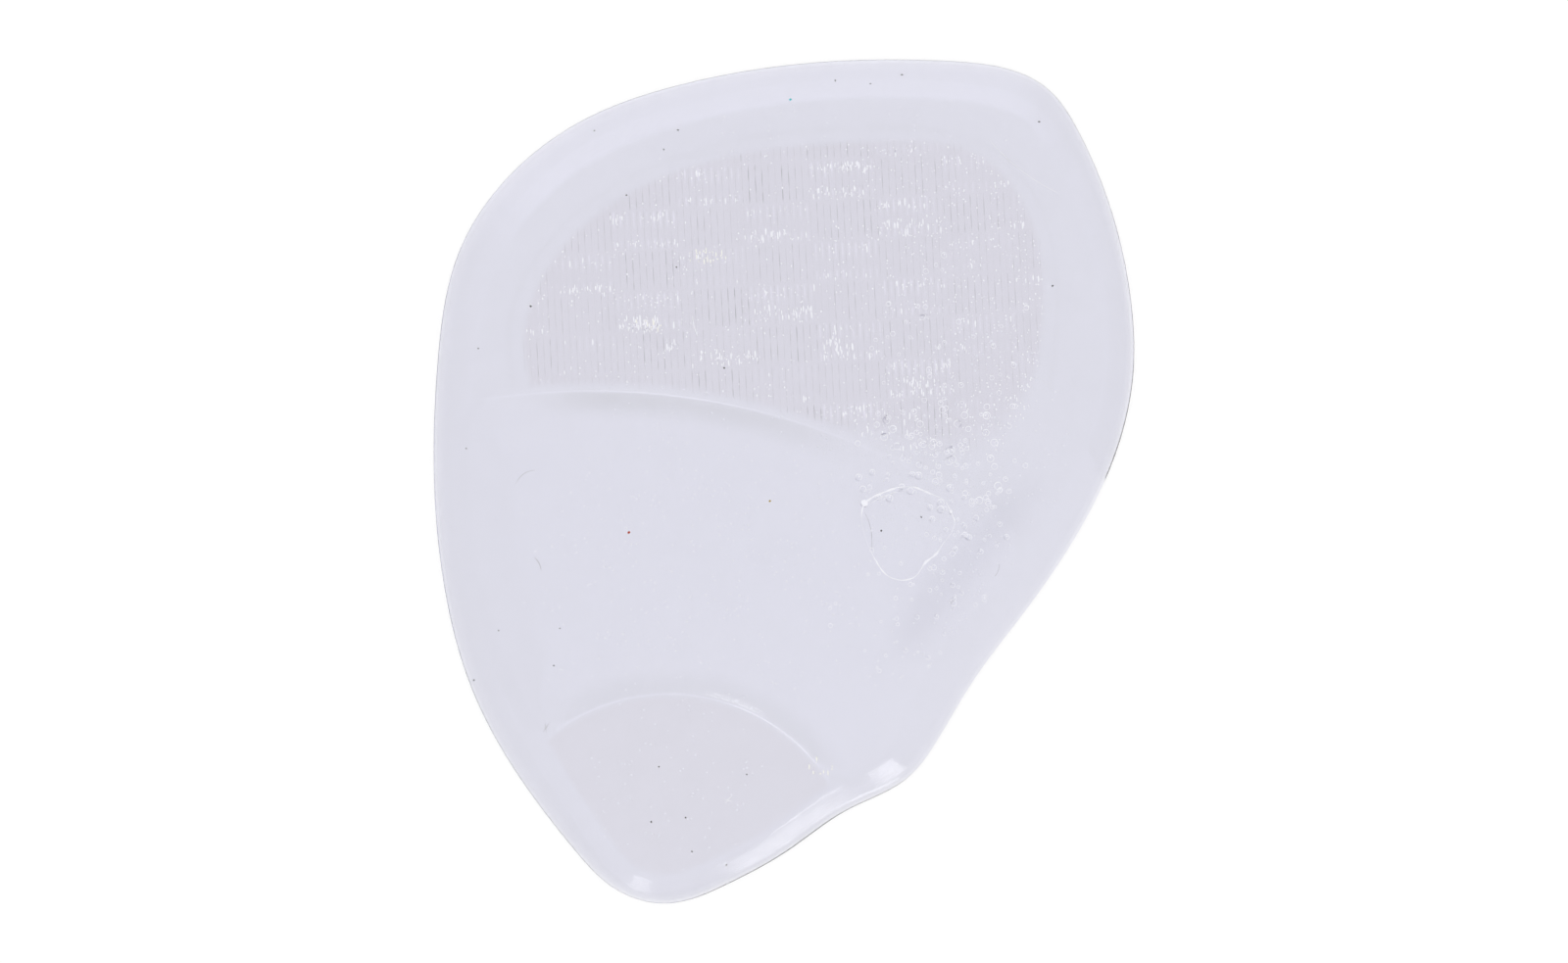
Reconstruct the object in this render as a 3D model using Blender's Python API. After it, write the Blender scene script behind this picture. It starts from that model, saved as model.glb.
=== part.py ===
"""Clear gel forefoot pad: one moulded piece that lies flat under the ball of the foot.

Metres, +Z up. The origin is under the middle of the pad, on its flat underside, and +Y runs
towards the toes. The upper side has a chamfered rim, a raised cushion across the middle, a
textured patch at the toes and a low crescent at the heel end.
"""

from collections import namedtuple
from math import cos, radians, sin, tau

import bmesh
import bpy
import numpy as np
from mathutils import Vector
from mathutils.geometry import delaunay_2d_cdt

# Pad and rim
PAD_LENGTH = 0.0940
PAD_WIDTH = 0.0780
SLAB_THICKNESS = 0.0023
EDGE_HEIGHT = 0.0011
EDGE_ROUND = 0.0005
RIM_WIDTH = 0.0043

# Raised cushion: its foot is two arcs, and a ledge inside the rim
CUSHION_RISE = 0.0010
CUSHION_RAMP = 0.0026
CUSHION_CROWN = 0.0004
CROWN_REACH = 0.0120
CUSHION_LEDGE = 0.0008
CUSHION_CORNER = 0.0035
TOE_ARC_RADIUS = 0.0762
HEEL_ARC_RADIUS = 0.0212

# Crescent at the heel end
HEEL_DIP = 0.0003
HEEL_DIP_RAMP = 0.0120

# Textured patch: a low plateau with a checker of raised tiles
PATCH_RISE = 0.00020
PATCH_FLANK = 0.00050
PATCH_GAP = 0.00040
TILE_WIDTH = 0.0074
TILE_LENGTH = 0.0045
TILE_RISE = 0.00022
TILE_FLANK = 0.00045
TILE_TURN = radians(3.0)

# Mesh fineness
OUTLINE_STEP = 0.0015
SURFACE_STEP = 0.0015
WELD_DISTANCE = 0.00004
EDGE_LINES = (0.3, 1.0)
RAMP_LINES = (0.0, 0.35, 1.0)
SPLINE_SAMPLES = 24
SEARCH_STEPS = 24
SHARP_ANGLE = radians(35.0)
INSIDE_BORDER_ONLY = 1

GEL_COLOUR = (0.73, 0.73, 0.81, 1.0)
GEL_ROUGHNESS = 0.22
GEL_TRANSMISSION = 0.85
GEL_IOR = 1.42

Place = namedtuple("Place", "name across along")
RimPlace = namedtuple("RimPlace", "name across along rim")

# Outline of the pad, clockwise from the toe edge: across is a share of PAD_WIDTH, along of
# PAD_LENGTH, and rim of RIM_WIDTH
PAD_OUTLINE = (
    RimPlace("toe_edge_right", 0.225, 0.498, 0.95),
    RimPlace("big_toe_corner", 0.378, 0.464, 0.95),
    RimPlace("big_toe_shoulder", 0.425, 0.408, 0.85),
    RimPlace("big_toe_side", 0.495, 0.220, 0.70),
    RimPlace("widest_right", 0.499, 0.125, 0.70),
    RimPlace("arch_middle", 0.338, -0.161, 0.95),
    RimPlace("arch_waist", 0.274, -0.232, 1.05),
    RimPlace("arch_low", 0.222, -0.303, 0.95),
    RimPlace("arch_corner", 0.178, -0.350, 0.80),
    RimPlace("notch", 0.090, -0.389, 0.70),
    RimPlace("heel_right", 0.011, -0.434, 0.68),
    RimPlace("heel_tip_right", -0.082, -0.477, 0.68),
    RimPlace("heel_tip", -0.168, -0.499, 0.68),
    RimPlace("heel_tip_left", -0.240, -0.482, 0.72),
    RimPlace("heel_left", -0.299, -0.435, 0.85),
    RimPlace("side_low", -0.445, -0.245, 1.05),
    RimPlace("side_middle", -0.484, -0.125, 0.90),
    RimPlace("side_high", -0.493, 0.148, 0.90),
    RimPlace("little_toe_side", -0.464, 0.270, 1.00),
    RimPlace("little_toe_corner", -0.292, 0.425, 1.00),
    RimPlace("toe_edge_left", -0.150, 0.469, 0.95),
)

# Outline of the textured patch, whose heel side the toe arc cuts off
PATCH_OUTLINE = (
    Place("toe_middle", 0.126, 0.406),
    Place("toe_right", 0.290, 0.384),
    Place("right_top", 0.352, 0.318),
    Place("right", 0.368, 0.150),
    Place("right_low", 0.330, 0.050),
    Place("low", 0.160, 0.010),
    Place("left_low", -0.330, 0.060),
    Place("left", -0.375, 0.150),
    Place("left_top", -0.335, 0.262),
    Place("toe_left", -0.180, 0.362),
)

# Nearest points of the cushion's two arcs to the toes
TOE_ARC_TOP = Place("toe_arc_top", -0.272, 0.107)
HEEL_ARC_TOP = Place("heel_arc_top", -0.164, -0.251)

# Points that see the whole of the cushion and of the patch
CUSHION_MIDDLE = Place("cushion_middle", 0.000, -0.070)
PATCH_MIDDLE = Place("patch_middle", 0.040, 0.240)

# Middle of a flat tile
TILE_GRID_ORIGIN = Place("tile_grid_origin", -0.006, 0.257)


def remove_old_objects():
    for old in list(bpy.data.objects):
        bpy.data.objects.remove(old, do_unlink=True)


def place_point(place):
    return np.array((place.across * PAD_WIDTH, place.along * PAD_LENGTH))


def closed_spline(rows):
    """Smooth closed curve through the rows: cubic, with each span's length as its parameter."""
    rows = np.asarray(rows, dtype=float)
    count = len(rows)
    spans = np.roll(rows, -1, axis=0) - rows
    lengths = np.linalg.norm(spans[:, :2], axis=1)[:, None]
    slopes = spans / lengths
    system = np.zeros((count, count))
    for here in range(count):
        before = (here - 1) % count
        after = (here + 1) % count
        system[here, before] += lengths[before, 0]
        system[here, here] += 2.0 * (lengths[before, 0] + lengths[here, 0])
        system[here, after] += lengths[here, 0]
    bends = np.linalg.solve(system, 6.0 * (slopes - np.roll(slopes, 1, axis=0)))
    curve = []
    for here in range(count):
        after = (here + 1) % count
        for share in np.arange(SPLINE_SAMPLES) / SPLINE_SAMPLES:
            left = 1.0 - share
            straight = left * rows[here] + share * rows[after]
            bend = (left**3 - left) * bends[here] + (share**3 - share) * bends[after]
            curve.append(straight + bend * lengths[here] ** 2 / 6.0)
    return np.array(curve)


def pad_outline():
    """Columns x, y and rim width, fitted to the pad's length and width exactly."""
    rows = [(*place_point(row), row.rim * RIM_WIDTH) for row in PAD_OUTLINE]
    curve = closed_spline(rows)
    low = curve[:, :2].min(axis=0)
    high = curve[:, :2].max(axis=0)
    size = np.array((PAD_WIDTH, PAD_LENGTH))
    curve[:, :2] = (curve[:, :2] - (low + high) / 2.0) * size / (high - low)
    return curve


def evenly_spaced(loop, step):
    """The closed loop again, with its points about a step apart."""
    closed = np.vstack((loop, loop[:1]))
    lengths = np.linalg.norm(np.diff(closed[:, :2], axis=0), axis=1)
    travelled = np.concatenate(((0.0,), np.cumsum(lengths)))
    count = max(3, round(travelled[-1] / step))
    stops = np.arange(count) * travelled[-1] / count
    columns = [np.interp(stops, travelled, column) for column in closed.T]
    return np.column_stack(columns)


def inward_normals(loop):
    """Unit normals of a clockwise loop, pointing into it."""
    along = np.roll(loop[:, :2], -1, axis=0) - np.roll(loop[:, :2], 1, axis=0)
    normals = np.column_stack((along[:, 1], -along[:, 0]))
    return normals / np.linalg.norm(normals, axis=1)[:, None]


def distance_to_loop(points, loop):
    """For each point, its distance to the closed loop, and where on the loop that is."""
    starts = loop[:, :2]
    spans = np.roll(starts, -1, axis=0) - starts
    offsets = points[:, None, :] - starts[None, :, :]
    shares = (offsets * spans).sum(axis=2) / (spans**2).sum(axis=1)
    shares = np.clip(shares, 0.0, 1.0)
    gaps = np.linalg.norm(offsets - shares[:, :, None] * spans, axis=2)
    nearest = gaps.argmin(axis=1)
    rows = np.arange(len(points))
    return gaps[rows, nearest], nearest, shares[rows, nearest]


def is_inside(points, loop):
    """Which points a closed loop surrounds, by the crossings to their right."""
    start = loop[:, :2]
    end = np.roll(start, -1, axis=0)
    level = points[:, 1:2]
    spans_level = (start[:, 1] > level) != (end[:, 1] > level)
    rise = end[:, 1] - start[:, 1]
    rise = np.where(rise == 0.0, 1.0, rise)
    crossing = start[:, 0] + (level - start[:, 1]) * (end[:, 0] - start[:, 0]) / rise
    return (spans_level & (points[:, :1] < crossing)).sum(axis=1) % 2 == 1


def rounded_corner(first, second, radius):
    """The lesser of two distances from two lines, with a fillet where the lines meet."""
    near = np.clip(radius - first, 0.0, None)
    also_near = np.clip(radius - second, 0.0, None)
    filleted = radius - np.hypot(near, also_near)
    return np.where((near > 0.0) & (also_near > 0.0), filleted, np.minimum(first, second))


def level_loop(inside, middle, level):
    """Clockwise loop round the middle, where the distance inside a border equals the level."""
    angles = -np.arange(0.0, tau, SURFACE_STEP / PAD_LENGTH)
    rays = np.column_stack((np.cos(angles), np.sin(angles)))
    near = np.zeros((len(rays), 1))
    far = np.full((len(rays), 1), PAD_LENGTH)
    for _ in range(SEARCH_STEPS):
        radius = (near + far) / 2.0
        within = inside(middle + radius * rays)[:, None] > level
        near = np.where(within, radius, near)
        far = np.where(within, far, radius)
    return evenly_spaced(middle + near * rays, SURFACE_STEP)


class Surface:
    """Height of the pad's upper side at any point of its plan."""

    def __init__(self):
        self.outline = pad_outline()
        self.patch = closed_spline([place_point(row) for row in PATCH_OUTLINE])
        self.toe_centre = place_point(TOE_ARC_TOP) - (0.0, TOE_ARC_RADIUS)
        self.heel_centre = place_point(HEEL_ARC_TOP) - (0.0, HEEL_ARC_RADIUS)
        self.tile_origin = place_point(TILE_GRID_ORIGIN)

    def rim(self, points):
        """Distance in from the outline, and the rim's width there."""
        gap, nearest, share = distance_to_loop(points, self.outline)
        widths = self.outline[:, 2]
        width = widths[nearest] * (1.0 - share) + np.roll(widths, -1)[nearest] * share
        return gap, width

    def past_toe_arc(self, points):
        """Distance inside the toe arc, which is negative on the patch's side."""
        return TOE_ARC_RADIUS - np.linalg.norm(points - self.toe_centre, axis=1)

    def past_heel_arc(self, points):
        """Distance outside the heel arc, which is negative on the crescent."""
        return np.linalg.norm(points - self.heel_centre, axis=1) - HEEL_ARC_RADIUS

    def inside_cushion(self, points):
        """Distance in from the cushion's foot, negative outside it."""
        gap, width = self.rim(points)
        gap = np.where(is_inside(points, self.outline), gap, -gap)
        ledge = gap - width - CUSHION_LEDGE
        toes = rounded_corner(self.past_toe_arc(points), ledge, CUSHION_CORNER)
        return rounded_corner(self.past_heel_arc(points), toes, CUSHION_CORNER)

    def inside_patch(self, points):
        """Distance in from the textured patch's border, negative outside it."""
        gap = distance_to_loop(points, self.patch)[0]
        signed = np.where(is_inside(points, self.patch), gap, -gap)
        return np.minimum(signed, -self.past_toe_arc(points) - PATCH_GAP)

    def tile_position(self, points):
        """Places in the turned grid of tiles, in tiles from the middle of a flat one."""
        offset = points - self.tile_origin
        across = offset[:, 0] * cos(TILE_TURN) + offset[:, 1] * sin(TILE_TURN)
        along = offset[:, 1] * cos(TILE_TURN) - offset[:, 0] * sin(TILE_TURN)
        return across / TILE_WIDTH, along / TILE_LENGTH

    def tile_height(self, points):
        """Share of TILE_RISE: 1 on a raised tile, 0 on a flat one, with flanks between."""
        across, along = self.tile_position(points)
        column = np.round(across)
        row = np.round(along)
        side_gap = (0.5 - abs(across - column)) * TILE_WIDTH
        end_gap = (0.5 - abs(along - row)) * TILE_LENGTH
        flank = np.clip(np.minimum(side_gap, end_gap) / TILE_FLANK, 0.0, 1.0)
        return np.where((column + row) % 2 == 1, flank, 0.0)

    def height(self, points):
        gap, width = self.rim(points)
        chamfer = np.clip(gap / width, 0.0, 1.0)
        height = EDGE_HEIGHT + (SLAB_THICKNESS - EDGE_HEIGHT) * chamfer
        corner = 1.0 - np.clip(gap / EDGE_ROUND, 0.0, 1.0)
        height -= EDGE_ROUND * (1.0 - np.sqrt(1.0 - corner**2))
        inset = self.inside_cushion(points)
        ramp = 1.0 - np.clip(inset / CUSHION_RAMP, 0.0, 1.0)
        crown = 1.0 - np.clip(inset / CROWN_REACH, 0.0, 1.0)
        height += CUSHION_RISE * (1.0 - ramp**2) + CUSHION_CROWN * (1.0 - crown**2)
        shoulder = np.clip(gap - width, 0.0, None)
        dip = np.minimum(-self.past_heel_arc(points), shoulder)
        dip = np.clip(dip / HEEL_DIP_RAMP, 0.0, 1.0)
        height -= HEEL_DIP * dip
        patch = np.clip(self.inside_patch(points) / PATCH_FLANK, 0.0, 1.0)
        return height + patch * (PATCH_RISE + TILE_RISE * self.tile_height(points))


class Plan:
    """Points and fixed lines of the pad's plan, which the triangles follow."""

    def __init__(self):
        self.points = []
        self.lines = []

    def add_loop(self, loop):
        """A closed loop of fixed lines. Returns its points' numbers."""
        first = len(self.points)
        count = len(loop)
        self.points.extend(Vector(point[:2]) for point in loop)
        numbers = [first + here for here in range(count)]
        self.lines.extend(zip(numbers, numbers[1:] + numbers[:1]))
        return numbers

    def add_line(self, start, end):
        first = len(self.points)
        self.points.extend((Vector(start), Vector(end)))
        self.lines.append((first, first + 1))

    def add_free_points(self, points):
        """Adds the points that lie clear of the fixed lines' points."""
        fixed = np.array(self.points)
        for point in points:
            if np.linalg.norm(fixed - point, axis=1).min() > SURFACE_STEP / 2.0:
                self.points.append(Vector(point))


def add_rim_lines(plan, loop):
    """The outline, its rounded edge and the chamfer's shoulder. Returns the outline's points."""
    normals = inward_normals(loop)
    outline = plan.add_loop(loop)
    for share in EDGE_LINES:
        plan.add_loop(loop[:, :2] + normals * share * EDGE_ROUND)
    plan.add_loop(loop[:, :2] + normals * loop[:, 2:3])
    return outline


def add_cushion_lines(plan, surface):
    """The cushion's foot, the turn of its ramp and the ramp's top."""
    middle = place_point(CUSHION_MIDDLE)
    for share in RAMP_LINES:
        plan.add_loop(level_loop(surface.inside_cushion, middle, share * CUSHION_RAMP))


def stretch_inside(start, end, inside):
    """The stretch of a line that lies inside a border, or None if neither end does."""
    start_in, end_in = inside(np.array((start, end))) > 0.0
    if start_in and end_in:
        return start, end
    if not start_in and not end_in:
        return None
    if end_in:
        start, end = end, start
    near = 0.0
    far = 1.0
    for _ in range(SEARCH_STEPS):
        share = (near + far) / 2.0
        within = inside((start + share * (end - start))[None, :])[0] > 0.0
        near, far = (share, far) if within else (near, share)
    return start, start + near * (end - start)


def tile_corners(surface, column, row, flank):
    """Corners of one tile, drawn in from its border by the flank."""
    across = np.array((cos(TILE_TURN), sin(TILE_TURN)))
    along = np.array((-sin(TILE_TURN), cos(TILE_TURN)))
    middle = surface.tile_origin + across * column * TILE_WIDTH + along * row * TILE_LENGTH
    half_width = across * (TILE_WIDTH / 2.0 - flank)
    half_length = along * (TILE_LENGTH / 2.0 - flank)
    return np.array((
        middle - half_width - half_length,
        middle + half_width - half_length,
        middle + half_width + half_length,
        middle - half_width + half_length,
    ))


def add_patch_lines(plan, surface):
    """The textured patch's border, and each raised tile's foot and top inside it."""
    middle = place_point(PATCH_MIDDLE)
    for inset in (0.0, PATCH_FLANK):
        plan.add_loop(level_loop(surface.inside_patch, middle, inset))
    reach = int(max(PAD_LENGTH / TILE_LENGTH, PAD_WIDTH / TILE_WIDTH))
    for column in range(-reach, reach + 1):
        for row in range(-reach, reach + 1):
            if (column + row) % 2 == 0:
                continue
            for flank in (0.0, TILE_FLANK):
                corners = tile_corners(surface, column, row, flank)
                for start, end in zip(corners, np.roll(corners, -1, axis=0)):
                    stretch = stretch_inside(start, end, surface.inside_patch)
                    if stretch is not None:
                        plan.add_line(*stretch)


def surface_grid(surface):
    """Points in staggered rows over the plan, inside the rim's shoulder."""
    row_step = SURFACE_STEP * cos(radians(30.0))
    rows = int(PAD_LENGTH / row_step / 2.0) + 1
    columns = int(PAD_WIDTH / SURFACE_STEP / 2.0) + 1
    grid = []
    for row in range(-rows, rows + 1):
        shift = SURFACE_STEP / 2.0 if row % 2 else 0.0
        for column in range(-columns, columns + 1):
            grid.append((column * SURFACE_STEP + shift, row * row_step))
    grid = np.array(grid)
    gap, width = surface.rim(grid)
    return grid[is_inside(grid, surface.outline) & (gap > width)]


def gel_material():
    material = bpy.data.materials.new("clear_gel")
    material.use_nodes = True
    shader = material.node_tree.nodes["Principled BSDF"]
    shader.inputs["Base Color"].default_value = GEL_COLOUR
    shader.inputs["Metallic"].default_value = 0.0
    shader.inputs["Roughness"].default_value = GEL_ROUGHNESS
    shader.inputs["Transmission Weight"].default_value = GEL_TRANSMISSION
    shader.inputs["IOR"].default_value = GEL_IOR
    return material


def upper_side(surface):
    """Corners and triangles of the pad's upper side."""
    loop = evenly_spaced(surface.outline, OUTLINE_STEP)
    plan = Plan()
    border = add_rim_lines(plan, loop)
    add_cushion_lines(plan, surface)
    add_patch_lines(plan, surface)
    plan.add_free_points(surface_grid(surface))
    flat, _, triangles, _, _, _ = delaunay_2d_cdt(
        plan.points, plan.lines, [border], INSIDE_BORDER_ONLY, WELD_DISTANCE
    )
    heights = surface.height(np.array(flat))
    return [(point.x, point.y, height) for point, height in zip(flat, heights)], triangles


def add_wall_and_underside(body):
    """Closes the upper side with an upright edge and a flat underside at Z = 0."""
    rim = [edge for edge in body.edges if edge.is_boundary]
    wall = bmesh.ops.extrude_edge_only(body, edges=rim)["geom"]
    for item in wall:
        if isinstance(item, bmesh.types.BMVert):
            item.co.z = 0.0
    foot = [edge for edge in body.edges if edge.is_boundary]
    underside = bmesh.ops.contextual_create(body, geom=foot)["faces"]
    bmesh.ops.triangulate(body, faces=underside)
    bmesh.ops.recalc_face_normals(body, faces=body.faces)


def build_gel_pad():
    corners, triangles = upper_side(Surface())
    body = bmesh.new()
    vertices = [body.verts.new(corner) for corner in corners]
    for triangle in triangles:
        body.faces.new([vertices[number] for number in triangle])
    loose = [vertex for vertex in vertices if not vertex.link_faces]
    bmesh.ops.delete(body, geom=loose, context="VERTS")
    add_wall_and_underside(body)

    mesh = bpy.data.meshes.new("gel_pad")
    body.to_mesh(mesh)
    body.free()
    mesh.shade_smooth()
    mesh.set_sharp_from_angle(angle=SHARP_ANGLE)
    mesh.materials.append(gel_material())
    pad = bpy.data.objects.new("gel_pad", mesh)
    bpy.context.scene.collection.objects.link(pad)


remove_old_objects()
build_gel_pad()
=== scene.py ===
"""Clear gel forefoot pad on a pale floor, seen from straight above.

Metres, +Z up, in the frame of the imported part: the origin is under the middle of the pad and +Y
runs towards the toes. The gel body repeats the part's own surface with finer steps, and adds the
ribs of the textured patch, the beads and rings of trapped air, and the dust that lies on the gel.
"""

from collections import namedtuple
from math import atan, cos, pi, radians, sin, tau

import bmesh
import bpy
import numpy as np
from mathutils import Matrix, Vector
from mathutils.kdtree import KDTree
from mathutils.geometry import delaunay_2d_cdt


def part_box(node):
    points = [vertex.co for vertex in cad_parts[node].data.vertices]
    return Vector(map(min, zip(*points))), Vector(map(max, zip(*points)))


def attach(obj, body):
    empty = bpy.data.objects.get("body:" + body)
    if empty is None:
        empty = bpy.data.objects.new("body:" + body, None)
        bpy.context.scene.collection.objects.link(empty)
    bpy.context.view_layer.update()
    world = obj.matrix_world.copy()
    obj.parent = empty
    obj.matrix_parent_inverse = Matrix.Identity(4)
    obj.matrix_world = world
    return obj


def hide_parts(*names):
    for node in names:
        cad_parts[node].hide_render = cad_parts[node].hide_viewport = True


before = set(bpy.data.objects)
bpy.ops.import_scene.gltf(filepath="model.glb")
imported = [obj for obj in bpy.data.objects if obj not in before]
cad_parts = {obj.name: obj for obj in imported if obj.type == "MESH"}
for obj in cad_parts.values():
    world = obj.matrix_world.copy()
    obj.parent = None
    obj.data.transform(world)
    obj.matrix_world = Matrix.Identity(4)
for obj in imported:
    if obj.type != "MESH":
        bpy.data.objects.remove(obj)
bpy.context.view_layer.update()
PAD_LOW, PAD_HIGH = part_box("gel_pad")
PAD_WIDTH = PAD_HIGH[0] - PAD_LOW[0]
PAD_LENGTH = PAD_HIGH[1] - PAD_LOW[1]

# Pad and rim
SLAB_THICKNESS = 0.0023
EDGE_HEIGHT = 0.0011
EDGE_ROUND = 0.0005
RIM_WIDTH = 0.0043
SHOULDER_SOFTNESS = 0.00015
FOOT_ROUND = 0.00012

# Raised cushion
CUSHION_RISE = 0.0010
CUSHION_RAMP = 0.0040
SIDE_RAMP = 0.0110
CUSHION_CROWN = 0.0004
CROWN_REACH = 0.0160
CUSHION_LEDGE = 0.0008
CUSHION_CORNER = 0.0035
TOE_ARC_RADIUS = 0.0762
HEEL_ARC_RADIUS = 0.0212
LIP_RISE = 0.00006
LIP_WIDTH = 0.00013

# Crescent at the heel end
HEEL_DIP = 0.0003
HEEL_DIP_RAMP = 0.0120

# Textured patch
PATCH_RISE = 0.00020
PATCH_FLANK = 0.00050
PATCH_GAP = 0.00040
TILE_WIDTH = 0.0074
TILE_LENGTH = 0.0045
TILE_RISE = 0.00022
TILE_FLANK = 0.00045
TILE_TURN = radians(3.0)
RIBS_PER_TILE = 10
ROW_STEPS = 10
GROOVE_DEPTH = 0.00006
GROOVE_REACH = 0.09
FLUTE_REACH = 0.21
FLUTE_RISE = 0.00007
RIB_POINTS = (-0.5, FLUTE_REACH - 0.5, -GROOVE_REACH, 0.0, GROOVE_REACH, 0.5 - FLUTE_REACH)

# Slow unevenness of the moulded surface
WAVE_HEIGHT = 0.000012
WAVE_LENGTHS = (0.0085, 0.0130, 0.0061)

# What the cushion lets through of red, green and blue
GEL_TINT = (0.648, 0.648, 0.775)

# Mesh fineness
OUTLINE_STEP = 0.0005
SURFACE_STEP = 0.00046
WELD_DISTANCE = 0.00001
SPLINE_SAMPLES = 24
SEARCH_STEPS = 26
CHUNK = 3000
INSIDE_BORDER_ONLY = 1

Place = namedtuple("Place", "name across along")
RimPlace = namedtuple("RimPlace", "name across along rim")

# Outline of the pad, clockwise from the toe edge: across is a share of PAD_WIDTH, along of
# PAD_LENGTH, and rim of RIM_WIDTH
PAD_OUTLINE = (
    RimPlace("toe_edge_right", 0.225, 0.498, 0.95),
    RimPlace("big_toe_corner", 0.378, 0.464, 0.95),
    RimPlace("big_toe_shoulder", 0.425, 0.408, 0.85),
    RimPlace("big_toe_side", 0.495, 0.220, 0.70),
    RimPlace("widest_right", 0.499, 0.125, 0.70),
    RimPlace("arch_middle", 0.338, -0.161, 0.95),
    RimPlace("arch_waist", 0.274, -0.232, 1.05),
    RimPlace("arch_low", 0.222, -0.303, 0.95),
    RimPlace("arch_corner", 0.178, -0.350, 0.80),
    RimPlace("notch", 0.090, -0.389, 0.70),
    RimPlace("heel_right", 0.011, -0.434, 0.68),
    RimPlace("heel_tip_right", -0.082, -0.477, 0.68),
    RimPlace("heel_tip", -0.168, -0.499, 0.68),
    RimPlace("heel_tip_left", -0.240, -0.482, 0.72),
    RimPlace("heel_left", -0.299, -0.435, 0.85),
    RimPlace("side_low", -0.445, -0.245, 1.05),
    RimPlace("side_middle", -0.484, -0.125, 0.90),
    RimPlace("side_high", -0.493, 0.148, 0.90),
    RimPlace("little_toe_side", -0.464, 0.270, 1.00),
    RimPlace("little_toe_corner", -0.292, 0.425, 1.00),
    RimPlace("toe_edge_left", -0.150, 0.469, 0.95),
)

# Outline of the textured patch, whose heel side the toe arc cuts off
PATCH_OUTLINE = (
    Place("toe_middle", 0.126, 0.406),
    Place("toe_right", 0.290, 0.384),
    Place("right_top", 0.352, 0.318),
    Place("right", 0.368, 0.150),
    Place("right_low", 0.330, 0.050),
    Place("low", 0.160, 0.010),
    Place("left_low", -0.330, 0.060),
    Place("left", -0.375, 0.150),
    Place("left_top", -0.335, 0.262),
    Place("toe_left", -0.180, 0.362),
)

TOE_ARC_TOP = Place("toe_arc_top", -0.272, 0.107)
HEEL_ARC_TOP = Place("heel_arc_top", -0.164, -0.251)
CUSHION_MIDDLE = Place("cushion_middle", 0.000, -0.070)
PATCH_MIDDLE = Place("patch_middle", 0.040, 0.240)
TILE_GRID_ORIGIN = Place("tile_grid_origin", -0.006, 0.257)


def place_point(place):
    return np.array((place.across * PAD_WIDTH, place.along * PAD_LENGTH))


def closed_spline(rows):
    """Smooth closed curve through the rows: cubic, with each span's length as its parameter."""
    rows = np.asarray(rows, dtype=float)
    count = len(rows)
    spans = np.roll(rows, -1, axis=0) - rows
    lengths = np.linalg.norm(spans[:, :2], axis=1)[:, None]
    slopes = spans / lengths
    system = np.zeros((count, count))
    for here in range(count):
        before = (here - 1) % count
        after = (here + 1) % count
        system[here, before] += lengths[before, 0]
        system[here, here] += 2.0 * (lengths[before, 0] + lengths[here, 0])
        system[here, after] += lengths[here, 0]
    bends = np.linalg.solve(system, 6.0 * (slopes - np.roll(slopes, 1, axis=0)))
    curve = []
    for here in range(count):
        after = (here + 1) % count
        for share in np.arange(SPLINE_SAMPLES) / SPLINE_SAMPLES:
            left = 1.0 - share
            straight = left * rows[here] + share * rows[after]
            bend = (left**3 - left) * bends[here] + (share**3 - share) * bends[after]
            curve.append(straight + bend * lengths[here] ** 2 / 6.0)
    return np.array(curve)


def pad_outline():
    """Columns x, y and rim width, fitted to the pad's length and width exactly."""
    rows = [(*place_point(row), row.rim * RIM_WIDTH) for row in PAD_OUTLINE]
    curve = closed_spline(rows)
    low = curve[:, :2].min(axis=0)
    high = curve[:, :2].max(axis=0)
    size = np.array((PAD_WIDTH, PAD_LENGTH))
    curve[:, :2] = (curve[:, :2] - (low + high) / 2.0) * size / (high - low)
    return curve


def evenly_spaced(loop, step):
    """The closed loop again, with its points about a step apart."""
    closed = np.vstack((loop, loop[:1]))
    lengths = np.linalg.norm(np.diff(closed[:, :2], axis=0), axis=1)
    travelled = np.concatenate(((0.0,), np.cumsum(lengths)))
    count = max(3, round(travelled[-1] / step))
    stops = np.arange(count) * travelled[-1] / count
    columns = [np.interp(stops, travelled, column) for column in closed.T]
    return np.column_stack(columns)


def inward_normals(loop):
    """Unit normals of a clockwise loop, pointing into it."""
    along = np.roll(loop[:, :2], -1, axis=0) - np.roll(loop[:, :2], 1, axis=0)
    normals = np.column_stack((along[:, 1], -along[:, 0]))
    return normals / np.linalg.norm(normals, axis=1)[:, None]


def distance_to_loop(points, loop):
    """For each point, its distance to the closed loop, and where on the loop that is."""
    starts = loop[:, :2]
    spans = np.roll(starts, -1, axis=0) - starts
    squares = (spans**2).sum(axis=1)
    gaps = np.empty(len(points))
    nearest = np.empty(len(points), dtype=int)
    shares = np.empty(len(points))
    for first in range(0, len(points), CHUNK):
        part = slice(first, first + CHUNK)
        offsets = points[part, None, :] - starts[None, :, :]
        share = np.clip((offsets * spans).sum(axis=2) / squares, 0.0, 1.0)
        gap = np.linalg.norm(offsets - share[:, :, None] * spans, axis=2)
        nearest[part] = gap.argmin(axis=1)
        rows = np.arange(len(gap))
        gaps[part] = gap[rows, nearest[part]]
        shares[part] = share[rows, nearest[part]]
    return gaps, nearest, shares


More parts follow.
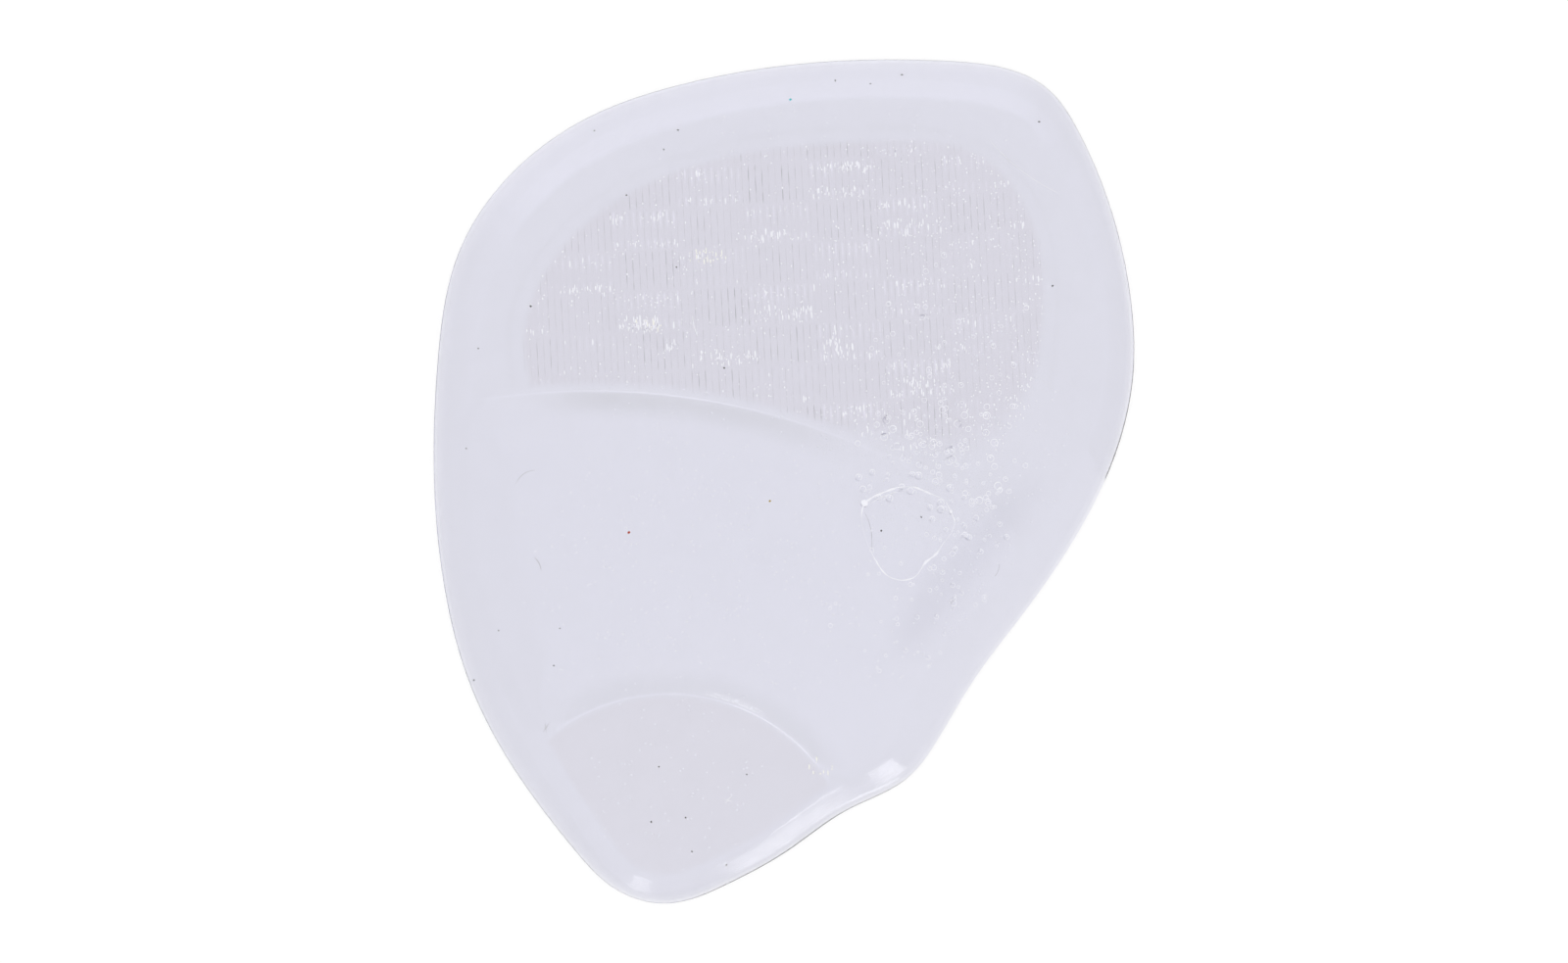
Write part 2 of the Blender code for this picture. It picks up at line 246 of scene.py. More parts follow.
def is_inside(points, loop):
    """Which points a closed loop surrounds, by the crossings to their right."""
    start = loop[:, :2]
    end = np.roll(start, -1, axis=0)
    rise = end[:, 1] - start[:, 1]
    rise = np.where(rise == 0.0, 1.0, rise)
    inside = np.empty(len(points), dtype=bool)
    for first in range(0, len(points), CHUNK):
        part = slice(first, first + CHUNK)
        level = points[part, 1:2]
        spans_level = (start[:, 1] > level) != (end[:, 1] > level)
        crossing = start[:, 0] + (level - start[:, 1]) * (end[:, 0] - start[:, 0]) / rise
        inside[part] = (spans_level & (points[part, :1] < crossing)).sum(axis=1) % 2 == 1
    return inside


def rounded_corner(first, second, radius):
    """The lesser of two distances from two lines, with a fillet where the lines meet."""
    near = np.clip(radius - first, 0.0, None)
    also_near = np.clip(radius - second, 0.0, None)
    filleted = radius - np.hypot(near, also_near)
    return np.where((near > 0.0) & (also_near > 0.0), filleted, np.minimum(first, second))


def smooth_step(values):
    share = np.clip(values, 0.0, 1.0)
    return share * share * (3.0 - 2.0 * share)


def bell(values, width):
    return np.exp(-((values / width) ** 2))


def level_loop(inside, middle, level):
    """Clockwise loop round the middle, where the distance inside a border equals the level."""
    angles = -np.arange(0.0, tau, OUTLINE_STEP / PAD_LENGTH * 2.0)
    rays = np.column_stack((np.cos(angles), np.sin(angles)))
    near = np.zeros((len(rays), 1))
    far = np.full((len(rays), 1), PAD_LENGTH)
    for _ in range(SEARCH_STEPS):
        radius = (near + far) / 2.0
        within = inside(middle + radius * rays)[:, None] > level
        near = np.where(within, radius, near)
        far = np.where(within, far, radius)
    return evenly_spaced(middle + near * rays, OUTLINE_STEP)


Survey = namedtuple("Survey", "gap width inset past_toe past_heel in_patch fade groove flute tile")


class Surface:
    """Height and tint, with its painted shade and highlights, of the pad's upper side at any point of its
    plan.
    """

    def __init__(self):
        self.outline = pad_outline()
        self.patch = closed_spline([place_point(row) for row in PATCH_OUTLINE])
        self.toe_centre = place_point(TOE_ARC_TOP) - (0.0, TOE_ARC_RADIUS)
        self.heel_centre = place_point(HEEL_ARC_TOP) - (0.0, HEEL_ARC_RADIUS)
        self.tile_origin = place_point(TILE_GRID_ORIGIN)
        chance = np.random.RandomState(41)
        self.tile_strength = chance.uniform(0.55, 1.0, (64, 64))
        self.rib_strength = chance.uniform(0.15, 1.0, (640, 64))
        self.rib_phase = chance.uniform(0.0, 1.0, (640, 64))
        self.flute_strength = chance.uniform(0.2, 1.0, (640, 64))
        self.bar_strength = chance.uniform(0.0, 1.0, (64, 64))

    def rim(self, points):
        """Distance in from the outline, and the rim's width there."""
        gap, nearest, share = distance_to_loop(points, self.outline)
        widths = self.outline[:, 2]
        width = widths[nearest] * (1.0 - share) + np.roll(widths, -1)[nearest] * share
        return gap, width

    def past_toe_arc(self, points):
        """Distance inside the toe arc, which is negative on the patch's side."""
        return TOE_ARC_RADIUS - np.linalg.norm(points - self.toe_centre, axis=1)

    def past_heel_arc(self, points):
        """Distance outside the heel arc, which is negative on the crescent."""
        return np.linalg.norm(points - self.heel_centre, axis=1) - HEEL_ARC_RADIUS

    def inside_cushion(self, points):
        """Distance in from the cushion's foot, negative outside it."""
        gap, width = self.rim(points)
        gap = np.where(is_inside(points, self.outline), gap, -gap)
        ledge = gap - width - CUSHION_LEDGE
        toes = rounded_corner(self.past_toe_arc(points), ledge, CUSHION_CORNER)
        return rounded_corner(self.past_heel_arc(points), toes, CUSHION_CORNER)

    def inside_patch(self, points):
        """Distance in from the textured patch's border, negative outside it."""
        gap = distance_to_loop(points, self.patch)[0]
        signed = np.where(is_inside(points, self.patch), gap, -gap)
        return np.minimum(signed, -self.past_toe_arc(points) - PATCH_GAP)

    def tile_position(self, points):
        """Places in the turned grid of tiles, in tiles from the middle of a flat one."""
        offset = points - self.tile_origin
        across = offset[:, 0] * cos(TILE_TURN) + offset[:, 1] * sin(TILE_TURN)
        along = offset[:, 1] * cos(TILE_TURN) - offset[:, 0] * sin(TILE_TURN)
        return across / TILE_WIDTH, along / TILE_LENGTH

    def pattern(self, points):
        """Depth share of the grooves, rise share of the flutes, and of the raised tiles."""
        across, along = self.tile_position(points)
        column = np.round(across).astype(int)
        row = np.round(along).astype(int)
        side_gap = (0.5 - abs(across - column)) * TILE_WIDTH
        end_gap = (0.5 - abs(along - row)) * TILE_LENGTH
        raised = (column + row) % 2 == 1
        tile = np.where(raised, np.clip(np.minimum(side_gap, end_gap) / TILE_FLANK, 0, 1), 0)

        rib = np.round(across * RIBS_PER_TILE).astype(int)
        off_rib = abs(across * RIBS_PER_TILE - rib)
        up = along - row
        strength = self.tile_strength[column + 32, row + 32]
        phase = self.rib_phase[rib + 320, row + 32]
        broken = np.clip(0.80 + 0.55 * np.sin(tau * (up * 1.9 + phase)), 0.0, 1.0)
        groove = np.clip(1.0 - off_rib / GROOVE_REACH, 0.0, 1.0)
        groove *= self.rib_strength[rib + 320, row + 32] * broken * strength
        groove *= smooth_step(end_gap / (0.10 * TILE_LENGTH))
        groove *= np.where(raised, 0.45, 1.0)

        flute = np.clip(1.0 - (0.5 - off_rib) / FLUTE_REACH, 0.0, 1.0)
        bars = smooth_step((up - 0.06) / 0.08) * smooth_step((0.46 - up) / 0.06)
        beads = 0.8 * smooth_step((up + 0.46) / 0.08) * smooth_step((-0.20 - up) / 0.08)
        flute *= self.flute_strength[rib + 320, row + 32] * (bars + beads)
        flute *= 0.15 + 0.85 * self.bar_strength[column + 32, row + 32]
        flute *= smooth_step(side_gap / (0.04 * TILE_WIDTH))
        flute = np.where(raised, flute, 0.0)
        return groove, flute, tile

    def fade(self, points):
        """How clearly the pattern is moulded: fully in the middle, faintly at both sides."""
        side = points[:, 0] / PAD_WIDTH
        return np.interp(side, (-0.37, -0.28, -0.20, 0.24, 0.31, 0.38), (0.55, 0.75, 1, 1, 0.8, 0.6))

    def border_softness(self, points):
        """How many times wider than elsewhere the patch's border is, low on its right side."""
        low = 1.0 - smooth_step((points[:, 1] / PAD_LENGTH - 0.03) / 0.12)
        right = smooth_step((points[:, 0] / PAD_WIDTH - 0.06) / 0.12)
        return 1.0 + 5.0 * low * right

    def survey(self, points):
        """Everything about the points that the height and the tint with its painted light have in common."""
        gap, width = self.rim(points)
        inside = is_inside(points, self.outline)
        ledge = np.where(inside, gap, -gap) - width - CUSHION_LEDGE
        past_toe = self.past_toe_arc(points)
        past_heel = self.past_heel_arc(points)
        toes = rounded_corner(past_toe, ledge, CUSHION_CORNER)
        inset = rounded_corner(past_heel, toes, CUSHION_CORNER)
        return Survey(gap, width, inset, past_toe, past_heel, self.inside_patch(points),
                      self.fade(points), *self.pattern(points))

    def height(self, points, found):
        gap, width, inset, past_toe, past_heel, in_patch, fade, groove, flute, tile = found
        past_shoulder = gap - width
        soft = np.sqrt(past_shoulder**2 + SHOULDER_SOFTNESS**2)
        chamfer = (gap + width - soft) / 2.0 / width
        start = (width - np.sqrt(width**2 + SHOULDER_SOFTNESS**2)) / 2.0 / width
        chamfer = np.clip((chamfer - start) / (1.0 - start), 0.0, 1.0)
        height = EDGE_HEIGHT + (SLAB_THICKNESS - EDGE_HEIGHT) * chamfer
        corner = 1.0 - np.clip(gap / EDGE_ROUND, 0.0, 1.0)
        height -= EDGE_ROUND * (1.0 - np.sqrt(1.0 - corner**2))
        along_arc = self.crispness(points, found)
        reach = SIDE_RAMP + (CUSHION_RAMP - SIDE_RAMP) * along_arc
        ramp = 1.0 - np.clip(inset / reach, 0.0, 1.0)
        crown = 1.0 - np.clip(inset / CROWN_REACH, 0.0, 1.0)
        height += CUSHION_RISE * (1.0 - ramp**2) + CUSHION_CROWN * (1.0 - crown**2)
        shoulder = np.clip(past_shoulder, 0.0, None)
        dip = np.minimum(-past_heel, shoulder)
        height -= HEEL_DIP * np.clip(dip / HEEL_DIP_RAMP, 0.0, 1.0)
        arc_gap = np.minimum(abs(past_toe), abs(past_heel))
        on_foot = bell(inset, LIP_WIDTH) * bell(arc_gap, LIP_WIDTH * 2.0)
        height += LIP_RISE * on_foot
        patch = np.clip(in_patch / PATCH_FLANK / self.border_softness(points), 0.0, 1.0)
        clear = fade * patch
        height += patch * PATCH_RISE + clear * TILE_RISE * tile
        height += clear * (FLUTE_RISE * flute - GROOVE_DEPTH * groove)
        return height + self.waves(points) * np.clip(gap / width, 0.0, 1.0)

    def crispness(self, points, found):
        """1 where the cushion's foot is a crisp arc, 0 where its side fades out softly."""
        side = points[:, 0] / PAD_WIDTH
        toes = bell(found.past_toe, 0.006) * np.interp(side, (-0.36, -0.26, 0.02, 0.13), (0.0, 1.0, 1.0, 0.0))
        heel = bell(found.past_heel, 0.006) * np.interp(side, (-0.36, -0.26, 0.04, 0.09), (0.0, 1.0, 1.0, 0.0))
        return np.clip(toes + heel, 0.0, 1.0)

    def waves(self, points):
        x, y = points.T
        wave = np.zeros(len(points))
        for number, length in enumerate(WAVE_LENGTHS):
            turn = 1.3 * number + 0.4
            wave += np.sin(tau * (x * cos(turn) + y * sin(turn)) / length + 2.1 * number)
            wave += np.sin(tau * (y * cos(turn) - x * sin(turn)) / length * 0.83 + number)
        return WAVE_HEIGHT * wave / 2.0

    def tint_and_painted_light(self, points, found):
        """Red, green and blue shares that the gel lets through, next to the cushion's, with painted shade and
        painted highlights laid on them.
        """
        gap, width, inset, past_toe, past_heel, in_patch, fade, groove, flute, _ = found
        tint_and_painted_light = np.ones((len(points), 3))
        past_shoulder = gap - width
        # Painted shade and light on the rim: a little darker round most of it, lighter along the top rim
        # towards the toes, as the light falls.
        rim = 1.0 - smooth_step(past_shoulder / 0.0008)
        side = points[:, 0] / PAD_WIDTH
        up = points[:, 1] / PAD_LENGTH
        toes = smooth_step((up - 0.26) / 0.10) * (1.0 - smooth_step((side - 0.30) / 0.10))
        tint_and_painted_light *= 1.0 + (rim * (1.0 - toes))[:, None] * np.array((-0.018, -0.018, -0.018))
        tint_and_painted_light *= 1.0 + (rim * toes)[:, None] * np.array((0.084, 0.083, 0.092))
        # Painted light along the outermost edge, more where the rim is narrow, lifting the dark line that
        # refraction leaves there.
        edge = 1.0 - smooth_step(gap / EDGE_ROUND - 0.4)
        edge *= np.interp(width, (0.0029, 0.0038), (0.40, 0.20))
        tint_and_painted_light *= 1.0 + edge[:, None] * np.array((1.0, 1.0, 0.75))
        heel = smooth_step(-past_heel / 0.0006) * smooth_step(past_shoulder / 0.001)
        tint_and_painted_light *= 1.0 - heel[:, None] * np.array((0.066, 0.084, 0.094))
        # Painted shade on the cushion's ramp, most below the left part of the toe arc and weaker near the heel
        # arc.
        ramp = smooth_step(inset / 0.0004) * (1.0 - smooth_step((inset - 0.0010) / 0.0026))
        ramp *= self.crispness(points, found)
        ramp *= np.where(past_toe < past_heel, np.interp(side, (-0.30, -0.05, 0.08), (1.2, 1.0, 0.5)), 0.55)
        tint_and_painted_light *= 1.0 - ramp[:, None] * np.array((0.140, 0.138, 0.155))
        flat = smooth_step(-inset / 0.0010) * (1.0 - rim) * (1.0 - heel)
        tint_and_painted_light *= 1.0 - flat[:, None] * np.array((0.030, 0.030, 0.032))
        # Painted shade of a fold: a darker band about 4.6 mm inside the rim's shoulder on the right, between
        # arch and heel; the fold has no shape in the mesh.
        painted_fold_shade = bell(past_shoulder - 0.0046, 0.0024) * smooth_step((side - 0.12) / 0.08)
        painted_fold_shade *= smooth_step((up + 0.23) / 0.06) * (1.0 - smooth_step((up + 0.05) / 0.08))
        tint_and_painted_light *= 1.0 - painted_fold_shade[:, None] * np.array((0.110, 0.110, 0.096))
        patch = smooth_step(in_patch / 0.0010 / self.border_softness(points))
        tint_and_painted_light *= 1.0 - patch[:, None] * np.array((0.077, 0.100, 0.102))
        clear = fade * patch
        # Painted shade in the grooves and painted highlights on the flutes, on top of the grooves and flutes
        # moulded into the height.
        tint_and_painted_light *= 1.0 - (clear * groove * 0.72)[:, None]
        tint_and_painted_light *= 1.0 + (clear * flute * 0.30)[:, None]
        # Painted highlights along the crisp foot lines of the toe and heel arcs.
        painted_toe_highlight = bell(past_toe, 0.00008) * smooth_step(past_shoulder / 0.002)
        painted_toe_highlight *= np.interp(side, (-0.35, -0.24, -0.12, -0.02, 0.10), (0.2, 1.0, 1.0, 0.4, 0.1))
        painted_heel_highlight = bell(past_heel, 0.00008) * smooth_step(past_shoulder / 0.001)
        painted_heel_highlight *= np.interp(side, (-0.35, -0.1, -0.06, 0.03, 0.05), (0.15, 0.2, 1.0, 0.9, 0.1))
        tint_and_painted_light *= 1.0 + (0.22 * painted_toe_highlight + 0.42 * painted_heel_highlight)[:, None]
        return tint_and_painted_light


class Plan:
    """Points and fixed lines of the pad's plan, which the triangles follow."""

    def __init__(self):
        self.points = []
        self.lines = []

    def add_loop(self, loop):
        """A closed loop of fixed lines. Returns its points' numbers."""
        first = len(self.points)
        count = len(loop)
        self.points.extend(Vector(point[:2]) for point in loop)
        numbers = [first + here for here in range(count)]
        self.lines.extend(zip(numbers, numbers[1:] + numbers[:1]))
        return numbers

    def add_free_points(self, points, clearance):
        """Adds the points that lie clear of the points already there."""
        fixed = KDTree(len(self.points))
        for number, point in enumerate(self.points):
            fixed.insert((point.x, point.y, 0.0), number)
        fixed.balance()
        for x, y in points:
            if fixed.find((x, y, 0.0))[2] > clearance:
                self.points.append(Vector((x, y)))


def rib_grid(surface):
    """Points of the patch in the turned grid of its ribs, and which of them are inside it."""
    reach_across = int(PAD_WIDTH / TILE_WIDTH * 0.6) * RIBS_PER_TILE
    reach_along = int(PAD_LENGTH / TILE_LENGTH * 0.4) * ROW_STEPS
    ribs = np.arange(-reach_across, reach_across + 1)[:, None] + np.array(RIB_POINTS)
    across, along = np.meshgrid(
        ribs.ravel() * TILE_WIDTH / RIBS_PER_TILE,
        np.arange(-reach_along, reach_along + 1) * TILE_LENGTH / ROW_STEPS,
    )
    x = across * cos(TILE_TURN) - along * sin(TILE_TURN)
    y = along * cos(TILE_TURN) + across * sin(TILE_TURN)
    grid = np.column_stack((x.ravel(), y.ravel())) + surface.tile_origin
    return grid[surface.inside_patch(grid) > PATCH_FLANK * 0.4]


def surface_grid(surface):
    """Points in staggered rows over the plan, outside the patch."""
    row_step = SURFACE_STEP * cos(radians(30.0))
    rows = int(PAD_LENGTH / row_step / 2.0) + 1
    columns = int(PAD_WIDTH / SURFACE_STEP / 2.0) + 1
    grid = []
    for row in range(-rows, rows + 1):
        shift = SURFACE_STEP / 2.0 if row % 2 else 0.0
        for column in range(-columns, columns + 1):
            grid.append((column * SURFACE_STEP + shift, row * row_step))
    grid = np.array(grid)
    gap, width = surface.rim(grid)
    keep = is_inside(grid, surface.outline) & (gap > width)
    keep &= surface.inside_patch(grid) < PATCH_FLANK * 0.4
    return grid[keep]


def upper_side(surface):
    """Corners and triangles of the pad's upper side."""
    loop = evenly_spaced(surface.outline, OUTLINE_STEP)
    normals = inward_normals(loop)
    plan = Plan()
    border = plan.add_loop(loop)
    for angle in (15.0, 32.0, 50.0, 70.0, 90.0):
        plan.add_loop(loop[:, :2] + normals * EDGE_ROUND * (1.0 - cos(radians(angle))))
    for share in (0.34, 0.52, 0.70, 0.86, 0.95, 1.0, 1.06, 1.16):
        plan.add_loop(loop[:, :2] + normals * loop[:, 2:3] * share)
    middle = place_point(CUSHION_MIDDLE)
    for inset in (-0.00028, -0.00012, 0.0, 0.00012, 0.00028, CUSHION_RAMP):
        plan.add_loop(level_loop(surface.inside_cushion, middle, inset))
    middle = place_point(PATCH_MIDDLE)
    plan.add_loop(level_loop(surface.inside_patch, middle, 0.0))
    plan.add_free_points(surface_grid(surface), SURFACE_STEP * 0.45)
    plan.add_free_points(rib_grid(surface), OUTLINE_STEP * 0.15)
    flat, _, triangles, _, _, _ = delaunay_2d_cdt(
        plan.points, plan.lines, [border], INSIDE_BORDER_ONLY, WELD_DISTANCE
    )
    flat = np.array(flat)
    found = surface.survey(flat)
    corners = np.column_stack((flat, surface.height(flat, found)))
    return corners, surface.tint_and_painted_light(flat, found), triangles


def closed_body(corners, triangles, border):
    """Adds an upright edge, a small foot radius and a flat underside below the upper side."""
    corners = [tuple(corner) for corner in corners]
    faces = [tuple(triangle) for triangle in triangles]
    rings = [border]
    for level, scale in ((FOOT_ROUND, 1.0), (0.0, 1.0 - FOOT_ROUND / PAD_WIDTH * 2.0)):
        first = len(corners)
        for number in border:
            x, y, _ = corners[number]
            corners.append((x * scale, y * scale, level))
        rings.append([first + here for here in range(len(border))])
    for upper, lower in zip(rings, rings[1:]):
        for here in range(len(border)):
            after = (here + 1) % len(border)
            faces.append((upper[here], upper[after], lower[after], lower[here]))
    faces.append(tuple(rings[-1]))
    return corners, faces


def border_in_order(triangles):
    """Numbers of the border's corners, in order round it."""
    edges = {(start, end) for row in triangles for start, end in zip(row, (*row[1:], row[0]))}
    after = {end: start for start, end in edges if (end, start) not in edges}
    order = [next(iter(after))]
    while after[order[-1]] != order[0]:
        order.append(after[order[-1]])
    return order


def mesh_piece(name, corners, faces):
    mesh = bpy.data.meshes.new(name)
    mesh.from_pydata([tuple(corner) for corner in corners], [], faces)
    mesh.shade_smooth()
    piece = bpy.data.objects.new(name, mesh)
    bpy.context.scene.collection.objects.link(piece)
    return piece


def make_gel_body(surface):
    corners, tint_and_painted_light, triangles = upper_side(surface)
    used = sorted({number for triangle in triangles for number in triangle})
    renumbered = {number: place for place, number in enumerate(used)}
    triangles = [tuple(renumbered[number] for number in triangle) for triangle in triangles]
    tint_and_painted_light = tint_and_painted_light[used]
    corners, faces = closed_body(corners[used], triangles, border_in_order(triangles))
    piece = mesh_piece("gel_body", corners, faces)
    body = bmesh.new()
    body.from_mesh(piece.data)
    bmesh.ops.triangulate(body, faces=[face for face in body.faces if len(face.verts) > 3])
    bmesh.ops.recalc_face_normals(body, faces=body.faces)
    body.to_mesh(piece.data)
    body.free()
    piece.data.set_sharp_from_angle(angle=radians(50.0))
    colours = np.ones((len(corners), 4))
    colours[: len(tint_and_painted_light), :3] = tint_and_painted_light * GEL_TINT
    # The colour attribute holds the gel's tint with painted shade and painted highlights in it.
    layer = piece.data.color_attributes.new("tint_and_painted_light", "FLOAT_COLOR", "POINT")
    layer.data.foreach_set("color", colours.ravel())
    return piece


def link_nodes(material, links):
    tree = material.node_tree
    for source, output, target, socket in links:
        tree.links.new(source.outputs[output], target.inputs[socket])


def gel_material():
    material = bpy.data.materials.new("clear_gel_skin")
    material.use_nodes = True
    tree = material.node_tree
    shader = tree.nodes["Principled BSDF"]
    shader.inputs["Transmission Weight"].default_value = 1.0
    shader.inputs["IOR"].default_value = 1.42
    shader.inputs["Metallic"].default_value = 0.0

    # Base colour from the colour attribute, whose tint carries painted shade and highlights.
    tint_and_painted_light = tree.nodes.new("ShaderNodeAttribute")
    tint_and_painted_light.attribute_name = "tint_and_painted_light"
    place = tree.nodes.new("ShaderNodeTexCoord")
    cloud = tree.nodes.new("ShaderNodeTexNoise")
    cloud.inputs["Scale"].default_value = 240.0
    cloud.inputs["Detail"].default_value = 3.0
    cloudy = tree.nodes.new("ShaderNodeMapRange")
    cloudy.inputs["To Min"].default_value = 0.985
    cloudy.inputs["To Max"].default_value = 1.012
    clouded = tree.nodes.new("ShaderNodeMix")
    clouded.data_type = "RGBA"
    clouded.blend_type = "MULTIPLY"
    clouded.inputs["Factor"].default_value = 1.0

    smear = tree.nodes.new("ShaderNodeTexNoise")
    smear.inputs["Scale"].default_value = 900.0
    smear.inputs["Detail"].default_value = 4.0
    matt = tree.nodes.new("ShaderNodeMapRange")
    matt.inputs["To Min"].default_value = 0.04
    matt.inputs["To Max"].default_value = 0.14
    grain = tree.nodes.new("ShaderNodeTexNoise")
    grain.inputs["Scale"].default_value = 3800.0
    grain.inputs["Detail"].default_value = 2.0
    bump = tree.nodes.new("ShaderNodeBump")
    bump.inputs["Strength"].default_value = 0.25
    bump.inputs["Distance"].default_value = 0.000012

    link_nodes(material, (
        (place, "Object", cloud, "Vector"),
        (place, "Object", smear, "Vector"),
        (place, "Object", grain, "Vector"),
        (cloud, "Fac", cloudy, "Value"),
        (tint_and_painted_light, "Color", clouded, "A"),
        (cloudy, "Result", clouded, "B"),
        (clouded, "Result", shader, "Base Color"),
        (smear, "Fac", matt, "Value"),
        (matt, "Result", shader, "Roughness"),
        (grain, "Fac", bump, "Height"),
        (bump, "Normal", shader, "Normal"),
    ))

    depth = tree.nodes.new("ShaderNodeVolumeAbsorption")
    depth.inputs["Color"].default_value = (0.60, 0.60, 0.80, 1.0)
    depth.inputs["Density"].default_value = 20.0
    tree.links.new(depth.outputs["Volume"], tree.nodes["Material Output"].inputs["Volume"])
    return material


def small_material(name, colour, roughness, mottle):
    """A dull finish whose colour wavers by the mottle share."""
    material = bpy.data.materials.new(name)
    material.use_nodes = True
    tree = material.node_tree
    shader = tree.nodes["Principled BSDF"]
    shader.inputs["Roughness"].default_value = roughness
    place = tree.nodes.new("ShaderNodeTexCoord")
    noise = tree.nodes.new("ShaderNodeTexNoise")
    noise.inputs["Scale"].default_value = 2500.0
    ramp = tree.nodes.new("ShaderNodeValToRGB")
    ramp.color_ramp.elements[0].color = (*(share * (1.0 - mottle) for share in colour), 1.0)
    ramp.color_ramp.elements[1].color = (*(min(1.0, share * (1.0 + mottle)) for share in colour), 1.0)
    link_nodes(material, (
        (place, "Object", noise, "Vector"),
        (noise, "Fac", ramp, "Fac"),
        (ramp, "Color", shader, "Base Color"),
    ))
    return material


class Pile:
    """Corners and faces of many small closed shapes, joined into one piece."""

    def __init__(self):
        self.corners = []
        self.faces = []
        body = bmesh.new()
        bmesh.ops.create_icosphere(body, subdivisions=1, radius=1.0)
        self.ball = np.array([vertex.co[:] for vertex in body.verts])
        self.ball_faces = [[vertex.index for vertex in face.verts] for face in body.faces]
        body.free()
        body = bmesh.new()
        bmesh.ops.create_icosphere(body, subdivisions=2, radius=1.0)
        self.fine_ball = np.array([vertex.co[:] for vertex in body.verts])
        self.fine_faces = [[vertex.index for vertex in face.verts] for face in body.faces]
        body.free()

    def add(self, corners, faces):
        first = len(self.corners)
        self.corners.extend(tuple(corner) for corner in corners)
        self.faces.extend(tuple(first + number for number in face) for face in faces)

    def add_bead(self, centre, radii, turn=0.0, fine=False):
        """A ball with a radius along each axis, turned about Z."""
        ball, faces = (self.fine_ball, self.fine_faces) if fine else (self.ball, self.ball_faces)
        x, y, z = (ball * radii).T
        turned = np.column_stack((x * cos(turn) - y * sin(turn), x * sin(turn) + y * cos(turn), z))
        self.add(turned + centre, faces)

    def add_flake(self, centre, radii, turn=0.0, sides=8):
        """A low lens with a radius along each axis, turned about Z."""
        angles = tau * np.arange(sides) / sides
        x = np.cos(angles) * radii[0]
        y = np.sin(angles) * radii[1]
        turned = (x * cos(turn) - y * sin(turn), x * sin(turn) + y * cos(turn), np.zeros(sides))
        edge = np.column_stack(turned)
        tips = np.array(((0.0, 0.0, radii[2]), (0.0, 0.0, -radii[2])))
        top, bottom = sides, sides + 1
        faces = []
        for here in range(sides):
            after = (here + 1) % sides
            faces.append((here, after, top))
            faces.append((after, here, bottom))
        self.add(np.vstack((edge, tips)) + centre, faces)

    def add_tube(self, path, radii, sides=6, flatness=1.0, closed=False):
        """A tube along the path, with a radius at each of its points."""
        path = np.asarray(path, dtype=float)
        count = len(path)
        if closed:
            along = np.roll(path, -1, axis=0) - np.roll(path, 1, axis=0)
        else:
            along = np.gradient(path, axis=0)
        along /= np.linalg.norm(along, axis=1)[:, None]
        across = np.cross(along, (0.0, 0.0, 1.0))
        across /= np.linalg.norm(across, axis=1)[:, None]
        upward = np.cross(across, along)
        corners = []
        for step in range(count):
            for side in range(sides):
                angle = tau * side / sides
                offset = across[step] * cos(angle) + upward[step] * sin(angle) * flatness
                corners.append(path[step] + offset * radii[step])
        faces = []
        for step in range(count if closed else count - 1):
            after = (step + 1) % count
            for side in range(sides):
                beside = (side + 1) % sides
                faces.append((step * sides + side, after * sides + side,
                              after * sides + beside, step * sides + beside))
        if not closed:
            faces.append(tuple(range(sides)))
            faces.append(tuple((count - 1) * sides + side for side in reversed(range(sides))))
        self.add(corners, faces)

    def add_ring(self, centre, radius, thickness, start=0.0, sweep=tau, sides=5):
        """A flat ring of tube, or the part of one that the sweep gives."""
        closed = sweep >= tau
        steps = max(6, int(18 * sweep / tau))
        angles = start + sweep * np.arange(steps) / (steps if closed else steps - 1)
        path = np.column_stack((
            centre[0] + radius * np.cos(angles),
            centre[1] + radius * np.sin(angles),
            np.full(steps, centre[2]),
        ))
        radii = np.full(steps, thickness)
        if not closed:
            radii = thickness * (0.25 + 0.75 * np.sin(pi * np.arange(steps) / (steps - 1)))
        self.add_tube(path, radii, sides=sides, flatness=0.6, closed=closed)

    def make(self, name, material):
        body = bmesh.new()
        mesh = bpy.data.meshes.new(name)
        mesh.from_pydata(self.corners, [], self.faces)
        body.from_mesh(mesh)
        bmesh.ops.recalc_face_normals(body, faces=body.faces)
        body.to_mesh(mesh)
        body.free()
        mesh.shade_smooth()
        mesh.set_sharp_from_angle(angle=radians(75.0))
        mesh.materials.append(material)
        piece = bpy.data.objects.new(name, mesh)
        bpy.context.scene.collection.objects.link(piece)
        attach(piece, "root")
        return piece


Zone = namedtuple("Zone", "name across along reach_across reach_along count smallest largest")
Ring = namedtuple("Ring", "across along size")
Speck = namedtuple("Speck", "across along size")
Stroke = namedtuple("Stroke", "name across along to_across to_along bend thickness")
Trace = namedtuple("Trace", "across along bright")

# Where small bubbles lie close together: middle and reach as shares of the pad, sizes in metres
BUBBLE_ZONES = (
    Zone("patch_right", 0.24, 0.15, 0.12, 0.13, 60, 0.00026, 0.00060),
    Zone("below_patch", 0.22, 0.03, 0.13, 0.07, 90, 0.00030, 0.00080),
    Zone("beside_trace", 0.26, -0.06, 0.06, 0.09, 50, 0.00028, 0.00062),
    Zone("arch", 0.18, -0.14, 0.12, 0.10, 40, 0.00024, 0.00050),
)

# Fine dots of air in the gel
DOT_ZONES = (
    Zone("cushion", 0.00, -0.08, 0.33, 0.18, 420, 0.00016, 0.00030),
    Zone("cushion_left", -0.22, -0.10, 0.16, 0.20, 120, 0.00015, 0.00027),
    Zone("crescent", -0.16, -0.36, 0.14, 0.10, 90, 0.00015, 0.00027),
    Zone("toe_band", 0.00, 0.42, 0.34, 0.05, 70, 0.00015, 0.00027),
    Zone("arch_side", 0.30, -0.02, 0.12, 0.22, 160, 0.00016, 0.00030),
)

